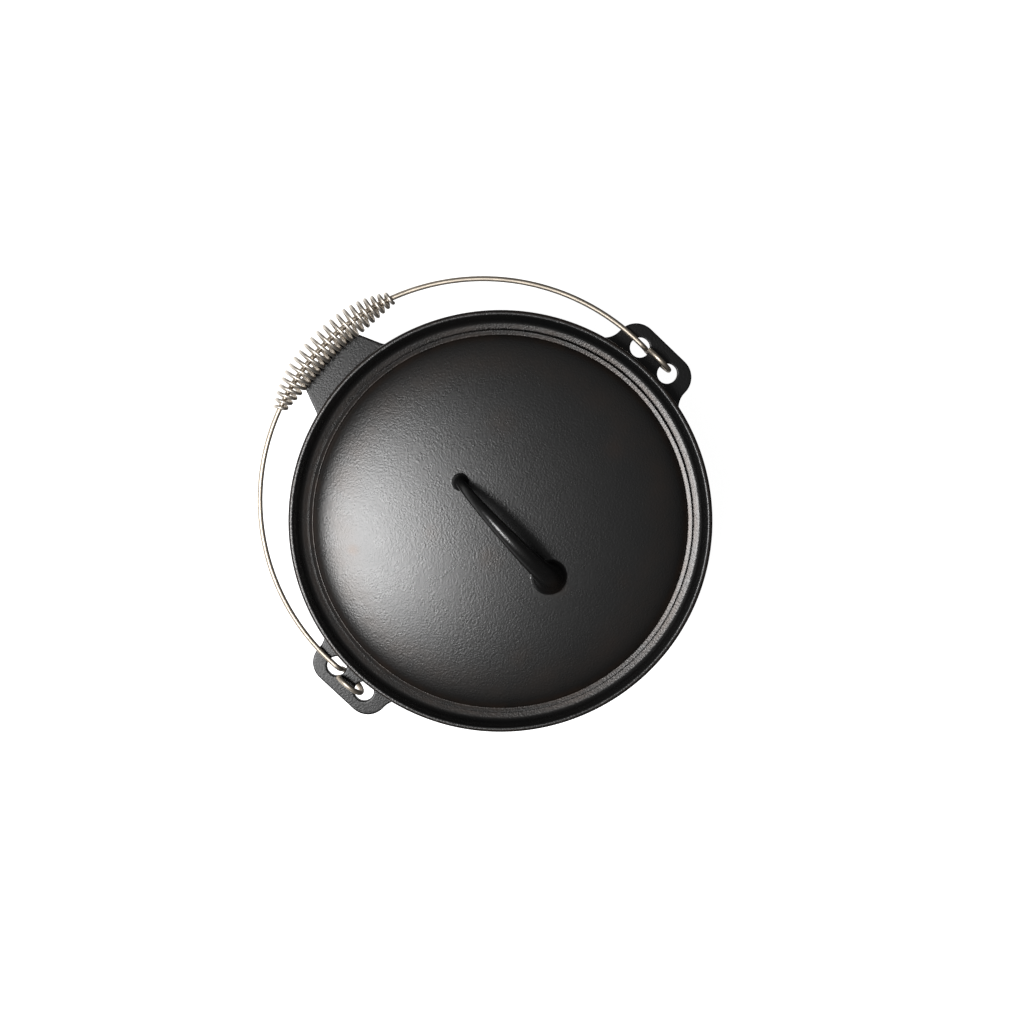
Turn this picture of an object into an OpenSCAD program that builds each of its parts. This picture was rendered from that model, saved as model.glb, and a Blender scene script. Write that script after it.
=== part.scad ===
// Cast iron camp dutch oven: a deep pot, a lid dropped into its rim, and a wire bail with a coil grip.
// Millimetres, +Z up. The origin is the centre of the pot's flat base. The two bail ears stand on
// the X axis and the rest tab on +Y, where the bail lies down.

/* [Pot] */
// Height of the pot from its base to the top of the rim
pot_h = 128; // [100:1:150]
// Radius of the flat part of the base
base_r = 109.5; // [90:0.5:110]
// Radius of the rounded corner between base and wall
base_round = 14; // [8:1:18]
// Outside radius of the wall just under the rim
wall_top_r = 138.8; // [136:0.2:140]
// Thickness of the floor
floor_t = 5.5; // [4:0.5:7]
// Inside radius of the cavity at the floor's rounded corner
cavity_low_r = 118.3; // [112:0.1:119]

/* [Rim] */
// Outside radius of the rim
rim_r = 147.5; // [146:0.5:147.5]
// Radius where the rim's inside face starts, at the top
rim_mouth_r = 143.3; // [142:0.1:144]
// Outer radius of the seat that the lid lies on
seat_outer_r = 139.8; // [138:0.1:140]
// Inner radius of the seat, where the cavity begins
seat_inner_r = 131.8; // [130:0.1:132]
// Depth of the seat's outer edge below the top of the rim
seat_depth = 6; // [5.5:0.1:7.5]
// Slope of the seat, inward and down, in degrees
seat_slope = 12; // [8:1:15]
// Radius of the sweep from the wall out to the rim
flare_r = 12; // [9:1:14]

/* [Bail ears] */
// Thickness of each ear and of the rest tab
plate_t = 5; // [4:0.5:6]
// Depth of the ears' middle plane below the top of the rim
ear_depth = 20; // [19:0.5:22]
// Distance from the pot's axis to an ear's outer edge
ear_reach = 170; // [169.5:0.5:172]
// Half of an ear's width
ear_half_w = 31.5; // [30:0.5:32]
// Radius of an ear's two outer corners
ear_corner_r = 15; // [10:1:15]
// Radius of a bail hole
hole_r = 7; // [6.8:0.1:7.2]
// Distance from the pot's axis to the holes
hole_x = 155.5; // [155:0.1:156]
// Distance from the X axis to each hole's centre
hole_y = 13.2; // [13:0.1:13.4]
// Radius of the sweep from an ear's sides into the pot
ear_root_r = 14; // [8:1:14]

/* [Rest tab] */
// Distance from the pot's axis to the tab's outer edge
tab_reach = 170; // [168:0.5:171]
// Half of the tab's width at its outer edge
tab_half_w = 24.5; // [22:0.5:26]
// Angle of each side of the tab, widening towards the wall
tab_flare = 22; // [15:1:25]
// Radius of the tab's outer corners
tab_corner_r = 2.5; // [2:0.5:4]
// Radius of the sweep from the tab's sides into the pot
tab_root_r = 10; // [4:1:12]

/* [Lid] */
// Outside radius of the lid
lid_r = 134; // [133:0.1:134.5]
// Thickness of the lid
lid_t = 4; // [3.5:0.1:4.5]
// Height of the lid's centre above the groove round its edge
dome_h = 10; // [7:0.5:12]
// Radius of the groove between the dome and the lid's edge
groove_r = 131; // [129:0.1:131]
// How far the lid is turned in its seat, in degrees
lid_turn = 3.6; // [-10:0.1:10]

/* [Lid handle] */
// Distance from the lid's centre to the thin foot
thin_foot_y = 40; // [36:1:44]
// Distance from the lid's centre to the thick foot
thick_foot_y = 49; // [44:1:52]
// Height of the arch's centre line above the dome
arch_h = 27; // [24:1:32]
// Radius of the arch at its thin foot
thin_r = 3.4; // [3:0.1:4]
// Radius of the arch just above its thick foot
thick_r = 7.4; // [6:0.1:8]
// Radius of the flared end of the thick foot
foot_r = 11.2; // [10:0.1:13]

/* [Bail] */
// Diameter of the bail wire
wire_d = 3.7; // [3.5:0.1:3.8]
// Radius of the bail's half circle
bail_r = 156.3; // [156:0.1:156.6]
// Distance from the X axis to the centre of the bail's half circle
bail_arc_y = 17.7; // [17:0.1:19]
// Distance that the bail lies off centre, towards +X
bail_shift = 1.2; // [0:0.1:1.2]
// Centre-line radius of the eyes at the bail's ends
eye_r = 10.8; // [10.4:0.1:11]
// Distance of the hinge axis behind the X axis
hinge_back = 1.5; // [1.2:0.1:1.6]
// Height of the bail's plane above its hinge axis
bail_rise = 3.7; // [3.6:0.1:3.8]
// Radius of the bend from the bail down into an eye
neck_r = 6; // [5:0.5:7]
// How much of a circle an eye goes round, in degrees
eye_wrap = 320; // [270:1:320]
// Distance outwards that the wire of the +X eye moves on round its circle
right_lead = 1; // [0.8:0.1:1.2]
// Distance outwards that the wire of the -X eye moves on round its circle
left_lead = 4.4; // [2:0.1:4.4]

/* [Coil grip] */
// Diameter of the coil's wire
coil_d = 2.6; // [1.8:0.1:2.6]
// Number of turns
coil_turns = 21.5; // [18:0.5:23]
// Angle of the bail's half circle that the coil covers, in degrees
coil_span = 40.7; // [36:0.1:44]
// Angle that the coil's middle lies from the bail's middle, towards +X
coil_shift = 2.2; // [-10:0.1:10]
// Centre-line radius of the coil in the middle
coil_mid_r = 9.4; // [8:0.1:9.6]
// Centre-line radius of the coil at its two ends
coil_end_r = 3.5; // [3.5:0.05:3.8]
// Share of the coil's length over which each end widens
coil_taper = 0.32; // [0.2:0.01:0.45]
// Distance that the middle of the coil lies inside the bail's wire
coil_sag = 0.4; // [0:0.1:1]

/* [Hidden] */
smooth = 96;
arc_steps = 6;
gap = 0.3;
ear_z = pot_h - ear_depth;
wall_lean = atan((wall_top_r - base_r - base_round) / (ear_z - base_round));
wall_top_z = ear_z;
flare_end = 108;
mouth_end = 165;
rim_round = 1.9;
cavity_round = 10;
seat_z = pot_h - seat_depth;
seat_drop = tan(seat_slope);
cutter_h = 3 * plate_t;
root_overlap = 4;
// Radius of the circle under the rim that the plates' sides sweep into
root_circle_r = rim_r - 1;
// The lid's underside keeps the seat's slope and stands a small gap above it.
lid_under_z = seat_z - (seat_outer_r - lid_r) * seat_drop + gap;
lid_edge_z = lid_under_z + lid_t;
edge_round = 0.8;
edge_steps = 2;
groove_z = lid_edge_z - (lid_r - groove_r) * seat_drop;
groove_w = 0.6;
dome_steps = 16;
dome_r = groove_r - groove_w;
handle_sides = 16;
handle_steps = 28;
handle_sink = 4;
// The arch thins from its thick foot up to this angle round its half ellipse.
thin_at = 170;
// Shares of the arch's height over which its thick and thin feet widen, and the thin one's swelling
thick_flare = 0.8;
thin_flare = 0.3;
thin_swell = 0.5 * thin_r;
wire_r = wire_d / 2;
wire_sides = 12;
arc_rings = 96;
bend_step = 12;
coil_sides = 6;
turn_steps = 20;
pitch_spread = 0.11;
coil_r = coil_d / 2;
// At rest the coil lies on the tab's top edge, which sets the bail's tilt. Slid to one side, its
// widest turn lies on the end of that edge.
hinge = [0, -hinge_back, ear_z];
edge_half = tab_half_w - tab_corner_r + bail_shift;
grip_reach = bail_arc_y + hinge_back + sqrt(pow(bail_r - coil_sag, 2) - pow(edge_half, 2));
grip_far = norm([grip_reach, bail_rise]);
edge_far = norm([tab_reach + hinge_back, plate_t / 2]);
rest_gap = coil_mid_r + coil_r + gap;
rest_tilt = atan((plate_t / 2) / (tab_reach + hinge_back)) - atan(bail_rise / grip_reach)
    + acos((pow(grip_far, 2) + pow(edge_far, 2) - pow(rest_gap, 2)) / (2 * grip_far * edge_far));
// The neck's centre lies below the bail's plane, and its bend touches the eye's circle there.
neck_turn = asin((bail_rise - neck_r) / (eye_r + neck_r));
neck_y = (eye_r + neck_r) * cos(neck_turn);

// Points of an arc in the plane, from one angle to another
function arc(centre, r, from, to, steps = arc_steps) =
    [for (i = [0:steps]) let (a = from + (to - from) * i / steps) centre + r * [cos(a), sin(a)]];

// A smooth step from 0 to 1
function ease(t) = let (u = min(1, max(0, t))) u * u * (3 - 2 * u);

function unit(v) = v / norm(v);

// Direction of a path at each of its points
function headings(path) = let (last = len(path) - 1)
    [for (i = [0:last]) unit(path[min(i + 1, last)] - path[max(i - 1, 0)])];

// Side vectors carried along the path without twisting
function carried(heads, first) =
    [for (i = 0, s = unit(first - (first * heads[0]) * heads[0]); i < len(heads);
        i = i + 1, s = i < len(heads) ? unit(s - (s * heads[i]) * heads[i]) : s) s];

// A round bar along a path, with one radius for each point of the path
module swept_bar(path, radii, sides, first_side) {
    heads = headings(path);
    across = carried(heads, first_side);
    last = len(path) - 1;
    points = [for (i = [0:last]) let (up = cross(heads[i], across[i])) for (k = [0:sides - 1])
        let (a = 360 * k / sides) path[i] + radii[i] * (cos(a) * across[i] + sin(a) * up)];
    skin = [for (i = [0:last - 1]) for (k = [0:sides - 1])
        let (n = (k + 1) % sides, a = i * sides, b = a + sides)
        each [[a + k, b + k, b + n], [a + k, b + n, a + n]]];
    caps = [[for (k = [0:sides - 1]) k], [for (k = [sides - 1:-1:0]) last * sides + k]];
    polyhedron(points = points, faces = concat(skin, caps), convexity = 10);
}

// Outline of the pot's section: up the outside, over the rim and down the inside
module pot_section() {
    base_arc = arc([base_r, base_round], base_round, -90, -wall_lean);
    flare_centre = [wall_top_r + flare_r * cos(wall_lean), wall_top_z - flare_r * sin(wall_lean)];
    flare_arc = arc(flare_centre, flare_r, 180 - wall_lean, flare_end);
    lip_arc = arc([rim_r - rim_round, pot_h - rim_round], rim_round, 0, 90);
    mouth_arc = arc([rim_mouth_r + rim_round, pot_h - rim_round], rim_round, 90, mouth_end);
    cavity_arc = arc([cavity_low_r - cavity_round, floor_t + cavity_round], cavity_round, -wall_lean, -90);
    seat = [[seat_outer_r, seat_z], [seat_inner_r, seat_z - (seat_outer_r - seat_inner_r) * seat_drop]];
    polygon(concat([[0, 0]], base_arc, flare_arc, [[rim_r, flare_arc[arc_steps].y + rim_round]],
        lip_arc, mouth_arc, seat, cavity_arc, [[0, floor_t]]));
}

// One side of a plate drawn on +X: the outer corner, the sweep into the pot and a point in the wall.
// Its sides widen by the flare angle towards the pot.
function plate_side(reach, half_w, corner_r, flare, sweep_r) = let (
    corner = [reach - corner_r, half_w - corner_r],
    out = [sin(flare), cos(flare)],
    off = corner * out + corner_r + sweep_r,
    far = root_circle_r + sweep_r,
    centre = off * out + sqrt(far * far - off * off) * [cos(flare), -sin(flare)])
    concat(arc(corner, corner_r, 0, 90 - flare),
        arc(centre, sweep_r, 270 - flare, 180 + atan2(centre.y, centre.x)),
        [centre * (wall_top_r - root_overlap) / far]);

// Outline of a plate from one of its sides
module plate_outline(side) {
    polygon(concat(side, [for (i = [len(side) - 1:-1:0]) [side[i].x, -side[i].y]]));
}

module plate() {
    translate([0, 0, ear_z - plate_t / 2]) linear_extrude(height = plate_t) children();
}

// Pot, ears and tab are one casting.
module pot() color([0.11, 0.11, 0.11]) {
    ear_side = plate_side(ear_reach, ear_half_w, ear_corner_r, 0, ear_root_r);
    tab_side = plate_side(tab_reach, tab_half_w, tab_corner_r, tab_flare, tab_root_r);
    rotate_extrude($fn = smooth) pot_section();
    difference() {
        union() {
            for (turn = [0, 180])
                plate() rotate(turn) plate_outline(ear_side);
            plate() rotate(90) plate_outline(tab_side);
        }
        cylinder(r = wall_top_r - root_overlap, h = pot_h, $fn = smooth);
        for (side = [-1, 1], row = [-1, 1])
            translate([side * hole_x, row * hole_y, ear_z - cutter_h / 2])
                cylinder(r = hole_r, h = cutter_h, $fn = smooth);
    }
}

// Height of the lid's top above the groove at a distance from the centre
function dome(r) = dome_h * sqrt(max(0, 1 - pow(r / dome_r, 2)));

module lid_section() {
    top = [for (i = [0:dome_steps]) let (r = dome_r * sin(90 * i / dome_steps)) [r, groove_z + dome(r)]];
    edge = arc([lid_r - edge_round, lid_edge_z - edge_round], edge_round, 90, 0, edge_steps);
    under = [for (i = [dome_steps:-1:0]) let (r = (dome_r - lid_t) * sin(90 * i / dome_steps))
        [r, groove_z + dome(r * dome_r / (dome_r - lid_t)) - lid_t]];
    polygon(concat(top, [[groove_r, groove_z]], edge, [[lid_r, lid_under_z],
        [dome_r - lid_t, lid_under_z - (lid_r - dome_r + lid_t) * seat_drop]], under));
}

// The arch runs along Y as half an ellipse, thin at one foot and thick with a flare at the other.
module lid_handle() {
    mid_y = (thin_foot_y - thick_foot_y) / 2;
    half_span = (thin_foot_y + thick_foot_y) / 2;
    foot_z = groove_z + dome(thick_foot_y);
    turns = [for (i = [0:handle_steps]) 180 * i / handle_steps];
    arch = [for (a = turns) [0, mid_y - half_span * cos(a), foot_z + arch_h * sin(a)]];
    girth = [for (a = turns) thick_r + (thin_r - thick_r) * ease(a / thin_at)
        + (a < 90 ? (foot_r - thick_r) * pow(max(0, 1 - sin(a) / thick_flare), 2)
            : thin_swell * pow(max(0, 1 - sin(a) / thin_flare), 2))];
    path = concat([arch[0] - [0, 0, handle_sink]], arch, [arch[handle_steps] - [0, 0, handle_sink]]);
    radii = concat([girth[0]], girth, [girth[handle_steps]]);
    // Only the part of the bar above the lid's underside is kept.
    intersection() {
        swept_bar(path, radii, handle_sides, [1, 0, 0]);
        translate([-foot_r, -2 * thick_foot_y, foot_z - handle_sink / 2])
            cube([2 * foot_r, 4 * thick_foot_y, 2 * arch_h]);
    }
}

// Lid and handle are one casting.
module lid() color([0.13, 0.12, 0.12]) rotate(-lid_turn) {
    rotate_extrude($fn = smooth) lid_section();
    lid_handle();
}

// Places a piece of the bail: its drawing has the hinge on its X axis and the bail's plane level.
module on_bail() {
    translate(hinge) rotate([rest_tilt, 0, 0]) children();
}

// Half of the bail's centre line, from the cut end of an eye up to the top of the half circle
function bail_half(side) = let (
    arc_c = bail_arc_y + hinge_back,
    lead = side > 0 ? right_lead : -left_lead,
    eye_steps = ceil(eye_wrap / bend_step),
    bend_steps = ceil((90 + abs(neck_turn)) / bend_step) + 1,
    neck_x = bail_shift + side * bail_r,
    eye = [for (i = [0:eye_steps]) let (back = 1 - i / eye_steps, a = neck_turn - eye_wrap * back)
        [neck_x + lead * back, eye_r * cos(a), eye_r * sin(a)]],
    neck = [for (i = [1:bend_steps]) let (a = 180 + neck_turn - (90 + neck_turn) * i / bend_steps)
        [neck_x, neck_y + neck_r * cos(a), bail_rise - neck_r + neck_r * sin(a)]],
    bow = [for (i = [0:arc_rings / 2]) let (a = 180 * i / arc_rings)
        [bail_shift + side * bail_r * cos(a), arc_c + bail_r * sin(a), bail_rise]])
    concat(eye, neck, bow);

function backwards(list) = [for (i = [len(list) - 1:-1:0]) list[i]];

module bail_wire() color([0.72, 0.69, 0.64]) on_bail() {
    right = bail_half(1);
    left = backwards(bail_half(-1));
    path = concat(right, [for (i = [1:len(left) - 1]) left[i]]);
    swept_bar(path, [for (p = path) wire_r], wire_sides, [1, 0, 0]);
}

// The coil is wound round the bail and narrows at both ends to a close fit on the wire.
module coil_grip() color([0.78, 0.75, 0.7]) on_bail() {
    steps = coil_turns * turn_steps;
    arc_c = bail_arc_y + hinge_back;
    winding = [for (i = [0:steps]) let (
        q = i / steps,
        along = q - pitch_spread * sin(360 * q) / (2 * PI),
        wide = sin(90 * min(1, min(along, 1 - along) / coil_taper)),
        r = coil_end_r + (coil_mid_r - coil_end_r) * wide,
        a = 90 - coil_shift + coil_span * (0.5 - along),
        axis_r = bail_r - coil_sag * ease(sin(180 * along)),
        turn = 360 * coil_turns * q,
        out = axis_r + r * cos(turn))
        [bail_shift + out * cos(a), arc_c + out * sin(a), bail_rise + r * sin(turn)]];
    swept_bar(winding, [for (p = winding) coil_r], coil_sides, [0, 0, 1]);
}

pot();
lid();
bail_wire();
coil_grip();
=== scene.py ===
import math

import bpy
from mathutils import Matrix, Vector


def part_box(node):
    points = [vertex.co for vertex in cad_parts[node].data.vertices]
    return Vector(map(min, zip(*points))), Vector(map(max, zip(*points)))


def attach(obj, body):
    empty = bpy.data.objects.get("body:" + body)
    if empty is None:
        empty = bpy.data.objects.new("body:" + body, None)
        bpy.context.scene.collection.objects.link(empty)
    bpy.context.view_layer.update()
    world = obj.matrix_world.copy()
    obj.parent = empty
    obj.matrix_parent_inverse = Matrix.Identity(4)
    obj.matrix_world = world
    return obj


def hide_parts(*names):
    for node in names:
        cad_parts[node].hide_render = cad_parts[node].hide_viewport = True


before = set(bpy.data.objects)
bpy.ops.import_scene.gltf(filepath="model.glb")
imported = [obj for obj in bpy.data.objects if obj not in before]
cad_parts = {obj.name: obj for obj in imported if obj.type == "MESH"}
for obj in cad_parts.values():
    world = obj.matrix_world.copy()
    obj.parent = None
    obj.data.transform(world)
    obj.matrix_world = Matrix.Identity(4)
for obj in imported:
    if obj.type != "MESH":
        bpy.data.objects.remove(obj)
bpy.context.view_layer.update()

# ---- Pot -----------------------------------------------------------------------------------------
# The bowl of the oven: a deep sand-cast iron pot with a flat base, a wall that leans out and a
# rim that flares to take the lid. Oil baked on at the foundry has turned its pebbled skin black.
MM = 0.001
pot_low, pot_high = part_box("pot")
pot_height = pot_high.z
rim_radius = -pot_low.y
rim_round = 1.9 * MM
mouth_radius = rim_radius - 4.2 * MM
seat_outer = (rim_radius - 7.7 * MM, pot_height - 6 * MM)
seat_inner = (rim_radius - 15.7 * MM, pot_height - 7.7 * MM)
wall_top_radius = rim_radius - 8.7 * MM
plate_level = pot_height - 20 * MM
base_radius = 109.5 * MM
base_corner = 14 * MM
lean = math.atan2(wall_top_radius - base_radius - base_corner, plate_level - base_corner)
flare = 12 * MM
floor_thickness = 5.5 * MM
cavity_corner = 10 * MM
cavity_radius = 118.3 * MM


def arc(centre, radius, start, stop, steps):
    """Points of an arc in the plane, from one angle to another in radians."""
    turns = [start + (stop - start) * i / steps for i in range(steps + 1)]
    return [(centre[0] + radius * math.cos(t), centre[1] + radius * math.sin(t)) for t in turns]


def eased_corner(before, corner, after, radius, steps=5):
    """The outline's corner rounded off with a curve that leaves it this far away."""
    ends = []
    for end in (before, after):
        away = Vector(end) - Vector(corner)
        ends.append(Vector(corner) + away.normalized() * min(radius, away.length * 0.5))
    points = []
    for i in range(steps + 1):
        t = i / steps
        points.append(tuple(ends[0] * (1 - t) ** 2 + Vector(corner) * 2 * t * (1 - t) + ends[1] * t ** 2))
    return points


def filled_in(outline, longest):
    """The same outline with its long straight stretches split."""
    points = [outline[0]]
    for a, b in zip(outline, outline[1:]):
        pieces = max(1, math.ceil(math.dist(a, b) / longest))
        for i in range(1, pieces + 1):
            points.append((a[0] + (b[0] - a[0]) * i / pieces, a[1] + (b[1] - a[1]) * i / pieces))
    return points


def mesh_piece(name, points, faces):
    """A new piece from its corners and faces."""
    mesh = bpy.data.meshes.new(name)
    mesh.from_pydata(points, [], faces)
    mesh.update()
    piece = bpy.data.objects.new(name, mesh)
    bpy.context.collection.objects.link(piece)
    return piece


def turned(name, outline, segments=288):
    """A closed body of revolution whose outline starts and ends on the axis."""
    points = [(0, 0, outline[0][1])]
    for r, z in outline[1:-1]:
        for k in range(segments):
            t = math.tau * k / segments
            points.append((r * math.cos(t), r * math.sin(t), z))
    points.append((0, 0, outline[-1][1]))
    top = 1 + (len(outline) - 3) * segments
    faces = []
    for k in range(segments):
        after = (k + 1) % segments
        faces.append((0, 1 + after, 1 + k))
        for low in range(1, top, segments):
            high = low + segments
            faces.append((low + k, low + after, high + after, high + k))
        faces.append((top + k, top + after, len(points) - 1))
    return mesh_piece(name, points, faces)


pot_outer = (
    arc((base_radius, base_corner), base_corner, -math.pi / 2, -lean, 14)
    + arc((wall_top_radius + flare * math.cos(lean), plate_level - flare * math.sin(lean)), flare,
          math.pi - lean, math.radians(108), 14)
)
lip_low = (rim_radius, pot_outer[-1][1] + rim_round)
pot_inner = (
    arc((rim_radius - rim_round, pot_height - rim_round), rim_round, 0, math.pi / 2, 9)
    + arc((mouth_radius + rim_round, pot_height - rim_round), rim_round,
          math.pi / 2, math.radians(165), 8)[1:]
)
cavity = arc((cavity_radius - cavity_corner, floor_thickness + cavity_corner), cavity_corner,
             -lean, -math.pi / 2, 12)
pot_outline = (
    [(0, 0)] + pot_outer[:-1]
    + eased_corner(pot_outer[-2], pot_outer[-1], lip_low, 0.6 * MM)
    + eased_corner(pot_outer[-1], lip_low, pot_inner[0], 0.8 * MM)
    + pot_inner
    + eased_corner(pot_inner[-1], seat_outer, seat_inner, 2 * MM, 8)
    + eased_corner(seat_outer, seat_inner, cavity[0], 1.2 * MM)
    + cavity + [(0, floor_thickness)]
)
pot = turned("pot_casting", filled_in(pot_outline, 4 * MM))


def shader_node(tree, kind, inputs=(), **settings):
    """Adds a shader node; inputs are pairs of a socket and its number or the socket feeding it."""
    made = tree.nodes.new(kind)
    for name, value in settings.items():
        setattr(made, name, value)
    for socket, value in inputs:
        if isinstance(value, bpy.types.NodeSocket):
            tree.links.new(value, made.inputs[socket])
        else:
            made.inputs[socket].default_value = value
    return made


def ramp(tree, factor, stops):
    """A colour ramp; stops are pairs of a position and a grey or a colour."""
    made = shader_node(tree, "ShaderNodeValToRGB", [("Fac", factor)])
    while len(made.color_ramp.elements) < len(stops):
        made.color_ramp.elements.new(0.5)
    for element, (position, shade) in zip(made.color_ramp.elements, stops):
        element.position = position
        element.color = (*shade, 1) if isinstance(shade, tuple) else (shade, shade, shade, 1)
    return made.outputs["Color"]


def blended(tree, factor, a, b):
    """A mix of two colours."""
    made = shader_node(tree, "ShaderNodeMix", data_type="RGBA")
    for socket, value in zip((made.inputs[0], made.inputs[6], made.inputs[7]), (factor, a, b)):
        if isinstance(value, bpy.types.NodeSocket):
            tree.links.new(value, socket)
        else:
            socket.default_value = value
    return made.outputs[2]


def seasoned_iron(name, thin_rings, thin_spots=()):
    """Black iron; the baked oil is thin and brown on rings (radius, half width, strength) round the
    axis and on spots (x, y, radius, strength)."""
    material = bpy.data.materials.new(name)
    material.use_nodes = True
    tree = material.node_tree
    shader = tree.nodes["Principled BSDF"]
    place = shader_node(tree, "ShaderNodeTexCoord").outputs["Object"]
    flat = shader_node(tree, "ShaderNodeVectorMath", [(0, place), (1, (1, 1, 0))], operation="MULTIPLY")
    radius = shader_node(tree, "ShaderNodeVectorMath", [(0, flat.outputs[0])], operation="LENGTH")
    blotch = shader_node(tree, "ShaderNodeTexNoise", [("Vector", place), ("Scale", 55.0), ("Detail", 6.0),
                                                      ("Roughness", 0.65)]).outputs["Fac"]
    cloud = shader_node(tree, "ShaderNodeTexNoise", [("Vector", place), ("Scale", 11.0), ("Detail", 3.0)])
    # The grain is turned off the axes, so that it stays even over level faces.
    askew = shader_node(tree, "ShaderNodeMapping", [("Vector", place), ("Rotation", (0.7, 0.5, 0.3))])
    pebbles = shader_node(tree, "ShaderNodeTexNoise",
                          [("Vector", askew.outputs[0]), ("Scale", 800.0), ("Detail", 2.0),
                           ("Roughness", 0.5)]).outputs["Fac"]
    sand = shader_node(tree, "ShaderNodeTexNoise", [("Vector", askew.outputs[0]), ("Scale", 1500.0),
                                                    ("Detail", 2.0)])
    thin = None
    for ring, half_width, strength in thin_rings:
        off = shader_node(tree, "ShaderNodeMath", [(0, radius.outputs["Value"]), (1, ring)],
                          operation="SUBTRACT")
        near = shader_node(tree, "ShaderNodeMath", [(0, off.outputs[0])], operation="ABSOLUTE")
        band = shader_node(tree, "ShaderNodeMapRange",
                           [("Value", near.outputs[0]), ("From Min", 0.0), ("From Max", half_width),
                            ("To Min", strength), ("To Max", 0.0)], interpolation_type="SMOOTHSTEP")
        if thin is None:
            thin = band.outputs["Result"]
        else:
            thin = shader_node(tree, "ShaderNodeMath", [(0, thin), (1, band.outputs["Result"])],
                               operation="MAXIMUM").outputs[0]
    for x, y, reach, strength in thin_spots:
        away = shader_node(tree, "ShaderNodeVectorMath", [(0, flat.outputs[0]), (1, (x, y, 0))],
                           operation="DISTANCE")
        spot = shader_node(tree, "ShaderNodeMapRange",
                           [("Value", away.outputs["Value"]), ("From Min", 0.0), ("From Max", reach),
                            ("To Min", strength), ("To Max", 0.0)], interpolation_type="SMOOTHSTEP")
        thin = shader_node(tree, "ShaderNodeMath", [(0, thin), (1, spot.outputs["Result"])],
                           operation="MAXIMUM").outputs[0]
    patchy = ramp(tree, blotch, [(0.36, 0.2), (0.64, 1.0)])
    brown = shader_node(tree, "ShaderNodeMath", [(0, thin), (1, patchy)], operation="MULTIPLY")
    black = ramp(tree, cloud.outputs["Fac"],
                 [(0.3, (0.0042, 0.0043, 0.0044)), (0.7, (0.0066, 0.0062, 0.0060))])
    colour = blended(tree, brown.outputs[0], black, (0.024, 0.014, 0.009, 1))
    tree.links.new(colour, shader.inputs["Base Color"])
    sheen = blended(tree, brown.outputs[0], (1, 1, 1, 1), (1.0, 0.76, 0.62, 1))
    tree.links.new(sheen, shader.inputs["Specular Tint"])
    tree.links.new(ramp(tree, blotch, [(0.3, 0.268), (0.72, 0.284)]), shader.inputs["Roughness"])
    # Outside the rim, on the lugs, the skin is duller.
    dull = shader_node(tree, "ShaderNodeMapRange",
                       [("Value", radius.outputs["Value"]), ("From Min", rim_radius),
                        ("From Max", rim_radius + 1 * MM), ("To Min", 0.5), ("To Max", 0.24)])
    tree.links.new(dull.outputs["Result"], shader.inputs["Specular IOR Level"])
    coarse = shader_node(tree, "ShaderNodeBump", [("Height", pebbles), ("Strength", 0.8),
                                                  ("Distance", 0.00014)])
    fine = shader_node(tree, "ShaderNodeBump", [("Height", sand.outputs["Fac"]), ("Strength", 0.4),
                                                ("Distance", 0.00004), ("Normal", coarse.outputs[0])])
    tree.links.new(fine.outputs[0], shader.inputs["Normal"])
    return material


# ---- Bail ears -----------------------------------------------------------------------------------
# Two flat lugs poured in one with the pot, each drilled through by a pair of cored holes that the
# bail's end is bent through. The sand leaves their edges round and their roots filleted.
ear_reach = pot_high.x
ear_half_width = 31.5 * MM
ear_corner = 15 * MM
hole_radius = 7 * MM
hole_x = 155.5 * MM
hole_y = 13.2 * MM
plate_thickness = 5 * MM
plate_root = wall_top_radius - 3 * MM


def settle(piece):
    """Applies a piece's modifiers to its mesh."""
    shaped = piece.evaluated_get(bpy.context.evaluated_depsgraph_get())
    mesh = bpy.data.meshes.new_from_object(shaped)
    piece.modifiers.clear()
    piece.data = mesh


def fuse(piece, addition):
    """Joins one closed body to another with a single skin."""
    union = piece.modifiers.new("union", "BOOLEAN")
    union.operation = "UNION"
    union.solver = "MANIFOLD"
    union.object = addition
    settle(piece)
    bpy.data.objects.remove(addition)


def cast_soft(piece, grain, passes):
    """Rounds a body's edges and fills its inside corners, as a sand mould does."""
    remesh = piece.modifiers.new("skin", "REMESH")
    remesh.mode = "VOXEL"
    remesh.voxel_size = grain
    soften = piece.modifiers.new("soften", "SMOOTH")
    soften.factor = 0.5
    soften.iterations = passes
    settle(piece)


def join_meshes(name, parts):
    """One piece made of several bodies' points and faces."""
    points, faces = [], []
    for part in parts:
        start = len(points)
        points += [tuple(v.co) for v in part.data.vertices]
        faces += [tuple(start + i for i in f.vertices) for f in part.data.polygons]
        bpy.data.objects.remove(part)
    return mesh_piece(name, points, faces)


def flat_plate(name, outline, holes, low, high):
    """A plate with straight holes, filled between its outline and the holes' rims."""
    curve = bpy.data.curves.new(name, "CURVE")
    curve.dimensions = "2D"
    curve.fill_mode = "BOTH"
    curve.extrude = (high - low) / 2
    for loop in [outline] + holes:
        spline = curve.splines.new("POLY")
        spline.points.add(len(loop) - 1)
        for point, (x, y) in zip(spline.points, loop):
            point.co = (x, y, 0, 1)
        spline.use_cyclic_u = True
    drawn = bpy.data.objects.new(name, curve)
    bpy.context.collection.objects.link(drawn)
    shaped = drawn.evaluated_get(bpy.context.evaluated_depsgraph_get())
    mesh = bpy.data.meshes.new_from_object(shaped)
    bpy.data.objects.remove(drawn)
    mesh.transform(Matrix.Translation((0, 0, (high + low) / 2)))
    piece = bpy.data.objects.new(name, mesh)
    bpy.context.collection.objects.link(piece)
    weld = piece.modifiers.new("weld", "WELD")
    weld.merge_threshold = 0.00001
    settle(piece)
    return piece


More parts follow.
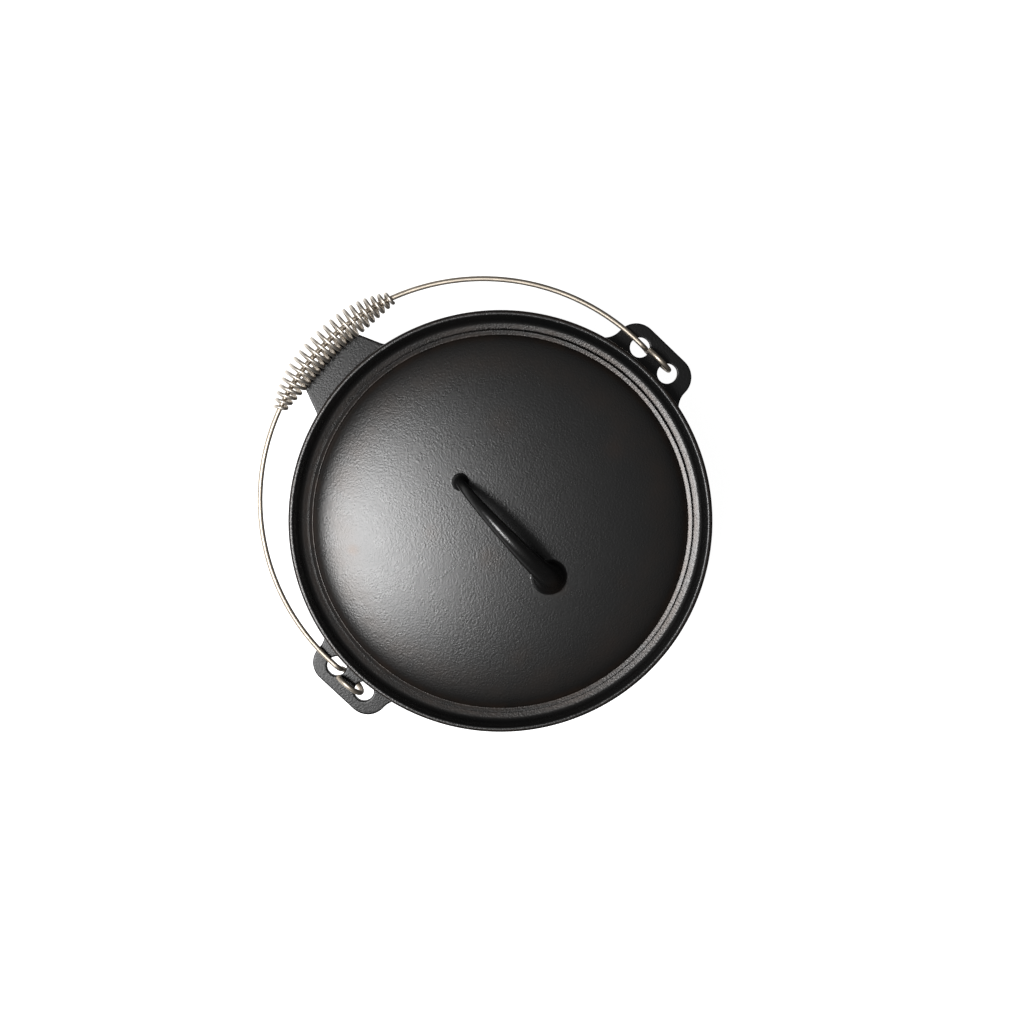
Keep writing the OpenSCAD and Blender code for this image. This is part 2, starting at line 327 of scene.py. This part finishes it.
def wall_patch(name, facing, half_angle):
    """A thin piece of the pot's wall, just under its skin, that a plate is rooted in."""
    skin = [p for p in filled_in(pot_outer, 3 * MM) if p[1] > plate_level - 22 * MM][:-3]
    outline = [(r - 0.2 * MM, z) for r, z in skin] + [(r - 3.4 * MM, z) for r, z in reversed(skin)]
    columns = 48
    points, faces = [], []
    for k in range(columns + 1):
        t = facing + half_angle * (2 * k / columns - 1)
        points += [(r * math.cos(t), r * math.sin(t), z) for r, z in outline]
    n = len(outline)
    for k in range(columns):
        for i in range(n):
            j = (i + 1) % n
            faces.append((k * n + i, (k + 1) * n + i, (k + 1) * n + j, k * n + j))
    faces.append(tuple(range(n)))
    faces.append(tuple(reversed(range(columns * n, (columns + 1) * n))))
    return mesh_piece(name, points, faces)


root_circle = rim_radius - 1 * MM


def plate_outline(reach, half_width, corner, flare_angle, sweep):
    """A plate on +X: outer corners, sides that widen by an angle, and sweeps into the pot."""
    centre = Vector((reach - corner, half_width - corner))
    out = Vector((math.sin(flare_angle), math.cos(flare_angle)))
    along = Vector((math.cos(flare_angle), -math.sin(flare_angle)))
    off = centre.dot(out) + corner + sweep
    far = root_circle + sweep
    root = out * off + along * math.sqrt(far * far - off * off)
    half = arc(centre, corner, 0, math.pi / 2 - flare_angle, 14)
    half += arc(root, sweep, 1.5 * math.pi - flare_angle, math.pi + math.atan2(root.y, root.x), 12)
    half.append(tuple(root * plate_root / far))
    return [(x, -y) for x, y in reversed(half)] + half


ear_outline = plate_outline(ear_reach, ear_half_width, ear_corner, 0, 14 * MM)
for side in (-1, 1):
    holes = [arc((hole_x, row * hole_y), hole_radius, 0, math.tau, 64)[:-1] for row in (-1, 1)]
    plate = flat_plate("ear", ear_outline, holes, plate_level - plate_thickness / 2,
                       plate_level + plate_thickness / 2)
    if side < 0:
        plate.data.transform(Matrix.Rotation(math.pi, 4, "Z"))
    ear = join_meshes("ear", [plate, wall_patch("patch", 0 if side > 0 else math.pi, 0.38)])
    cast_soft(ear, 0.6 * MM, 7)
    fuse(pot, ear)

# ---- Rest tab ------------------------------------------------------------------------------------
# A third lug on the +Y side, without holes and flaring towards the wall, that stops the bail when
# it lies down. It is poured with the pot too.
tab_reach = pot_high.y
tab_half_width = 24.5 * MM
tab_corner = 2.5 * MM
tab_flare = math.radians(22)
tab_outline = plate_outline(tab_reach, tab_half_width, tab_corner, tab_flare, 10 * MM)
tab = flat_plate("tab", tab_outline, [], plate_level - plate_thickness / 2,
                 plate_level + plate_thickness / 2)
tab.data.transform(Matrix.Rotation(math.pi / 2, 4, "Z"))
tab = join_meshes("tab", [tab, wall_patch("patch", math.pi / 2, 0.4)])
cast_soft(tab, 0.6 * MM, 7)
fuse(pot, tab)


def finish_casting(piece, material, body, node):
    """Shades a casting smoothly, gives it its finish and hangs it on its body."""
    for face in piece.data.polygons:
        face.use_smooth = True
    shading = piece.modifiers.new("even shading", "WEIGHTED_NORMAL")
    shading.weight = 50
    piece.data.materials.clear()
    piece.data.materials.append(material)
    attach(piece, body)
    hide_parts(node)


pot_iron = seasoned_iron("pot_iron", [(rim_radius - 11.5 * MM, 4 * MM, 0.35),
                                      (rim_radius - 1 * MM, 2 * MM, 0.35)])
finish_casting(pot, pot_iron, "pot", "pot")

# ---- Lid -----------------------------------------------------------------------------------------
# A shallow dome of the same iron that drops into the rim. A groove runs round it, outside which
# its edge slopes back up; the slope underneath lies on the pot's seat.
lid_radius = 134 * MM
lid_thickness = 4 * MM
groove_radius = 131 * MM
dome_radius = 130.4 * MM
dome_height = 10 * MM
seat_slope = math.tan(math.radians(12))
lid_under = pot_height - 6.933 * MM
lid_edge = lid_under + lid_thickness
groove_level = lid_edge - (lid_radius - groove_radius) * seat_slope
edge_round = 0.6 * MM
lid_turn = math.radians(-3.6)


def dome(r):
    """Height of the dome's skin at a distance from the axis."""
    return groove_level + dome_height * math.sqrt(max(0, 1 - (r / dome_radius) ** 2))


under_radius = dome_radius - lid_thickness
top = [(dome_radius * math.sin(math.pi / 2 * i / 72), 0) for i in range(73)]
top = [(r, dome(r)) for r, z in top]
under = []
for i in range(60, -1, -1):
    r = under_radius * math.sin(math.pi / 2 * i / 60)
    under.append((r, dome(r * dome_radius / under_radius) - lid_thickness))
rim_slope_end = (under_radius, lid_under - (lid_radius - under_radius) * seat_slope)
edge = arc((lid_radius - edge_round, lid_edge - edge_round), edge_round, math.pi / 2, 0, 5)
groove_floor = (groove_radius, groove_level)
lid_outline = (
    [p for p in top if p[0] < dome_radius - 0.5 * MM]
    + eased_corner(top[-8], (dome_radius, groove_level + 0.1 * MM), groove_floor, 0.5 * MM, 3)
    + eased_corner((dome_radius, groove_level), groove_floor, edge[0], 0.8 * MM, 4)
    + edge
    + eased_corner(edge[-1], (lid_radius, lid_under), rim_slope_end, 0.5 * MM, 3)
    + [rim_slope_end] + under[1:]
)
lid = turned("lid_casting", list(reversed(filled_in(lid_outline, 4 * MM))))

# ---- Lid handle ----------------------------------------------------------------------------------
# An arch cast on the middle of the lid, thick and flared at one foot and thin at the other, wide
# enough underneath for a finger or a lid hook.
thin_foot = 40 * MM
thick_foot = 49 * MM
arch_height = 27 * MM
thin_radius = 3.4 * MM
thick_radius = 7.4 * MM
foot_radius = 11.2 * MM


def ease(t):
    """A smooth step from 0 to 1."""
    t = min(1, max(0, t))
    return t * t * (3 - 2 * t)


def bar(name, path, radii, sides, first_side, cut=0.0):
    """A round bar along a path, with its length and girth as UVs; cut bevels its two ends."""
    path = [Vector(p) for p in path]
    last = len(path) - 1
    heads = [(path[min(i + 1, last)] - path[max(i - 1, 0)]).normalized() for i in range(last + 1)]
    if cut:
        path = [path[0] - heads[0] * cut] + path + [path[-1] + heads[-1] * cut]
        radii = [radii[0] - cut] + list(radii) + [radii[-1] - cut]
        heads = [heads[0]] + heads + [heads[-1]]
        last += 2
    side = Vector(first_side)
    points, far, along = [], 0.0, []
    for i in range(last + 1):
        side = (side - heads[i] * side.dot(heads[i])).normalized()
        up = heads[i].cross(side)
        far += (path[i] - path[max(i - 1, 0)]).length
        along.append(far)
        for k in range(sides):
            t = math.tau * k / sides
            points.append(path[i] + (side * math.cos(t) + up * math.sin(t)) * radii[i])
    faces, uvs = [], []
    for i in range(last):
        for k in range(sides):
            n = (k + 1) % sides
            faces.append((i * sides + k, i * sides + n, (i + 1) * sides + n, (i + 1) * sides + k))
            uvs += [(along[i], k / sides), (along[i], (k + 1) / sides),
                    (along[i + 1], (k + 1) / sides), (along[i + 1], k / sides)]
    faces.append(tuple(reversed(range(sides))))
    faces.append(tuple(range(last * sides, (last + 1) * sides)))
    uvs += [(0.0, 0.0)] * (2 * sides)
    piece = mesh_piece(name, points, faces)
    layer = piece.data.uv_layers.new(name="bar")
    layer.data.foreach_set("uv", [x for uv in uvs for x in uv])
    return piece


foot_level = dome(thick_foot)
half_span = (thin_foot + thick_foot) / 2
arch, girth = [], []
for i in range(91):
    a = math.radians(2 * i)
    arch.append((0, (thin_foot - thick_foot) / 2 - half_span * math.cos(a),
                 foot_level + arch_height * math.sin(a)))
    if i < 45:
        swell = (foot_radius - thick_radius) * max(0, 1 - math.sin(a) / 0.8) ** 2
    else:
        swell = thin_radius * 0.5 * max(0, 1 - math.sin(a) / 0.3) ** 2
    foot_sweep = 1.4 * MM * max(0, 1 - math.sin(a) / 0.1) ** 2
    girth.append(thick_radius + (thin_radius - thick_radius) * ease(2 * i / 170) + swell + foot_sweep)
sunk = 2.6 * MM
arch = [(0, arch[0][1], arch[0][2] - sunk)] + arch + [(0, arch[-1][1], arch[-1][2] - sunk)]
girth = [girth[0]] + girth + [girth[-1]]
handle = bar("handle", arch, girth, 40, (1, 0, 0))
patch_top = [(75 * MM * i / 20, dome(75 * MM * i / 20) - 0.25 * MM) for i in range(21)]
patch_outline = [(0, dome(0) - 2.8 * MM)] + [(r, z - 2.5 * MM) for r, z in patch_top[1:]]
patch_outline += list(reversed(patch_top))
handle = join_meshes("handle", [handle, turned("patch", patch_outline, 96)])
cast_soft(handle, 0.6 * MM, 6)
fuse(lid, handle)
lid.data.transform(Matrix.Rotation(lid_turn, 4, "Z"))
worn_spots = [(-0.036, 0.030, 0.009, 0.35), (-0.022, -0.012, 0.013, 0.3), (-0.004, -0.058, 0.012, 0.35),
              (0.052, 0.048, 0.016, 0.25), (-0.084, 0.062, 0.008, 0.4), (0.030, -0.090, 0.012, 0.2),
              (-0.058, -0.075, 0.014, 0.25), (0.093, -0.020, 0.015, 0.25)]
lid_iron = seasoned_iron("lid_iron", [(lid_radius - 4 * MM, 6 * MM, 0.45), (113 * MM, 20 * MM, 0.2)],
                         worn_spots)
finish_casting(lid, lid_iron, "lid", "lid")

# ---- Bail ----------------------------------------------------------------------------------------
# The carrying handle: one length of stainless wire bent to a half circle, each end turned down
# through an ear's hole, under the web and back up through the other.
wire_radius = 1.85 * MM
bail_radius = 156.3 * MM
bail_arc_y = 17.7 * MM
bail_shift = 1.2 * MM
hinge_back = 1.5 * MM
eye_radius = 10.8 * MM
bail_rise = 3.7 * MM
neck_radius = 6 * MM
eye_wrap = math.radians(320)
rest_tilt = math.radians(3.21355)
on_bail = Matrix.Translation((0, -hinge_back, plate_level)) @ Matrix.Rotation(rest_tilt, 4, "X")
arc_centre = bail_arc_y + hinge_back
neck_turn = math.asin((bail_rise - neck_radius) / (eye_radius + neck_radius))
neck_y = (eye_radius + neck_radius) * math.cos(neck_turn)


def bail_half(side, lead):
    """Half of the bail's centre line, from the cut end of its eye to the top of the half circle."""
    points = []
    neck_x = bail_shift + side * bail_radius
    for i in range(81):
        back = 1 - i / 80
        a = neck_turn - eye_wrap * back
        points.append((neck_x + side * lead * back, eye_radius * math.cos(a), eye_radius * math.sin(a)))
    for i in range(1, 25):
        a = math.pi + neck_turn - (math.pi / 2 + neck_turn) * i / 24
        points.append((neck_x, neck_y + neck_radius * math.cos(a),
                       bail_rise - neck_radius + neck_radius * math.sin(a)))
    for i in range(181):
        a = math.radians(i / 2)
        points.append((bail_shift + side * bail_radius * math.cos(a),
                       arc_centre + bail_radius * math.sin(a), bail_rise))
    return points


bail_path = bail_half(1, 1.0 * MM) + list(reversed(bail_half(-1, 4.4 * MM)))[1:]
bail = bar("bail_rod", bail_path, [wire_radius] * len(bail_path), 24, (1, 0, 0), cut=0.35 * MM)
bail.data.transform(on_bail)


def drawn_wire(name, tone):
    """Satin stainless wire with fine lines left along it by the drawing die."""
    material = bpy.data.materials.new(name)
    material.use_nodes = True
    tree = material.node_tree
    shader = tree.nodes["Principled BSDF"]
    shader.inputs["Metallic"].default_value = 1.0
    coords = shader_node(tree, "ShaderNodeTexCoord")
    lines_at = shader_node(tree, "ShaderNodeMapping", [("Vector", coords.outputs["UV"]),
                                                       ("Scale", (60.0, 26.0, 1.0))])
    lines = shader_node(tree, "ShaderNodeTexNoise", [("Vector", lines_at.outputs[0]), ("Scale", 1.0),
                                                     ("Detail", 3.0), ("Roughness", 0.6)])
    haze = shader_node(tree, "ShaderNodeTexNoise", [("Vector", coords.outputs["Object"]), ("Scale", 90.0),
                                                    ("Detail", 3.0)])
    dark = tuple(0.82 * c for c in tone)
    tree.links.new(ramp(tree, haze.outputs["Fac"], [(0.35, dark), (0.65, tone)]),
                   shader.inputs["Base Color"])
    tree.links.new(ramp(tree, lines.outputs["Fac"], [(0.3, 0.42), (0.7, 0.52)]),
                   shader.inputs["Roughness"])
    bump = shader_node(tree, "ShaderNodeBump", [("Height", lines.outputs["Fac"]), ("Strength", 0.25),
                                                ("Distance", 0.00005)])
    tree.links.new(bump.outputs[0], shader.inputs["Normal"])
    return material


def finish_wire(piece, material, body, node):
    """Shades a wire, gives it its finish and hangs it on its body."""
    for face in piece.data.polygons:
        face.use_smooth = len(face.vertices) == 4
    piece.data.materials.append(material)
    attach(piece, body)
    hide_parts(node)


finish_wire(bail, drawn_wire("bail_stainless", (0.68, 0.60, 0.50)), "bail", "bail_wire")

# ---- Coil grip -----------------------------------------------------------------------------------
# A spring of thinner stainless wire wound loosely round the middle of the bail, so that the hand
# stays off the hot rod. Its end turns close down on the rod and hold it in place.
coil_wire_radius = 1.3 * MM
coil_turns = 21.5
coil_span = math.radians(40.7)
coil_shift = math.radians(2.2)
coil_mid = 9.4 * MM
coil_end = 3.5 * MM
coil_taper = 0.32
coil_sag = 0.4 * MM
winding = []
steps = round(coil_turns * 48)
for i in range(steps + 1):
    q = i / steps
    along = q - 0.11 * math.sin(math.tau * q) / math.tau
    wide = math.sin(math.pi / 2 * min(1, min(along, 1 - along) / coil_taper))
    r = coil_end + (coil_mid - coil_end) * wide
    a = math.pi / 2 - coil_shift + coil_span * (0.5 - along)
    axis_radius = bail_radius - coil_sag * ease(math.sin(math.pi * along))
    turn = math.tau * coil_turns * q
    out = axis_radius + r * math.cos(turn)
    winding.append((bail_shift + out * math.cos(a), arc_centre + out * math.sin(a),
                    bail_rise + r * math.sin(turn)))
coil = bar("coil_spring", winding, [coil_wire_radius] * len(winding), 16, (0, 0, 1), cut=0.25 * MM)
coil.data.transform(on_bail)
finish_wire(coil, drawn_wire("coil_stainless", (0.82, 0.76, 0.68)), "grip", "coil_grip")

# ---- Floor ---------------------------------------------------------------------------------------
# A plain white sweep under the oven.
floor = mesh_piece("floor", [(-3, -3, 0), (3, -3, 0), (3, 3, 0), (-3, 3, 0)], [(0, 1, 2, 3)])
floor.location.z = -0.0005
paper = bpy.data.materials.new("paper")
paper.use_nodes = True
sheet_shader = paper.node_tree.nodes["Principled BSDF"]
fibre = shader_node(paper.node_tree, "ShaderNodeTexNoise", [("Scale", 900.0), ("Detail", 3.0)])
paper.node_tree.links.new(ramp(paper.node_tree, fibre.outputs["Fac"], [(0.3, 0.86), (0.7, 0.90)]),
                          sheet_shader.inputs["Base Color"])
sheet_shader.inputs["Roughness"].default_value = 0.9
sheet_shader.inputs["Specular IOR Level"].default_value = 0.1
sheet_shader.inputs["Emission Color"].default_value = (1.0, 1.0, 1.0, 1.0)
sheet_shader.inputs["Emission Strength"].default_value = 0.92
floor.data.materials.append(paper)
floor.visible_glossy = False

# ---- Light ---------------------------------------------------------------------------------------
# One softbox high over the -X, +Y side, in a dim room that is a little paler overhead. Low down on
# the same side the room is bright, which the wires pick up.
softbox = bpy.data.lights.new("softbox", "AREA")
softbox.shape = "SQUARE"
softbox.size = 0.52
softbox.energy = 22
lamp = bpy.data.objects.new("softbox", softbox)
bpy.context.collection.objects.link(lamp)
towards = Vector((-0.328, 0.149, 0.933)).normalized()
lamp.location = Vector((0, 0, 0.12)) + towards * 1.5
lamp.rotation_euler = towards.to_track_quat("Z", "Y").to_euler()
room = bpy.data.worlds.new("room")
room.use_nodes = True
backdrop = room.node_tree.nodes["Background"]
sky = shader_node(room.node_tree, "ShaderNodeTexCoord")
facing = shader_node(room.node_tree, "ShaderNodeVectorMath",
                     [(0, sky.outputs["Generated"]), (1, (-0.688, 0.725, -0.9))], operation="DOT_PRODUCT")
side_on = shader_node(room.node_tree, "ShaderNodeMapRange", [("Value", facing.outputs["Value"]),
                                                             ("From Min", -1.35), ("From Max", 1.35)])
glow = ramp(room.node_tree, side_on.outputs["Result"],
            [(0.0, 0.03), (0.45, 0.05), (0.60, 0.14), (0.82, 1.0), (1.0, 1.6)])
height = shader_node(room.node_tree, "ShaderNodeSeparateXYZ", [(0, sky.outputs["Generated"])])
ceiling = ramp(room.node_tree, height.outputs["Z"], [(0.72, 0.0), (0.95, 0.25)])
both = shader_node(room.node_tree, "ShaderNodeVectorMath", [(0, glow), (1, ceiling)], operation="ADD")
room.node_tree.links.new(both.outputs[0], backdrop.inputs["Color"])
backdrop.inputs["Strength"].default_value = 1.0
bpy.context.scene.world = room
bpy.context.scene.view_settings.view_transform = "Standard"

# ---- Camera --------------------------------------------------------------------------------------
# Looks almost straight down from a little over a metre, turned so that the two ears lie on a
# diagonal.
heading = math.radians(46.5)
right = Vector((math.cos(heading), -math.sin(heading), 0))
up = Vector((math.sin(heading), math.cos(heading), 0))
tilt = math.radians(5.5)
aim = right * 0.0081 + up * 0.0080 + Vector((0, 0, 0.125))
back = Vector((0, 0, math.cos(tilt))) + up * math.sin(tilt)
upright = back.cross(right)
eye_point = bpy.data.cameras.new("camera")
eye_point.lens = 55.6
eye_point.sensor_width = 36
eye_point.clip_start = 0.05
camera = bpy.data.objects.new("camera", eye_point)
bpy.context.collection.objects.link(camera)
turn_to = Matrix((right, upright, back)).transposed().to_4x4()
camera.matrix_world = Matrix.Translation(aim + back * 1.1) @ turn_to
bpy.context.scene.camera = camera
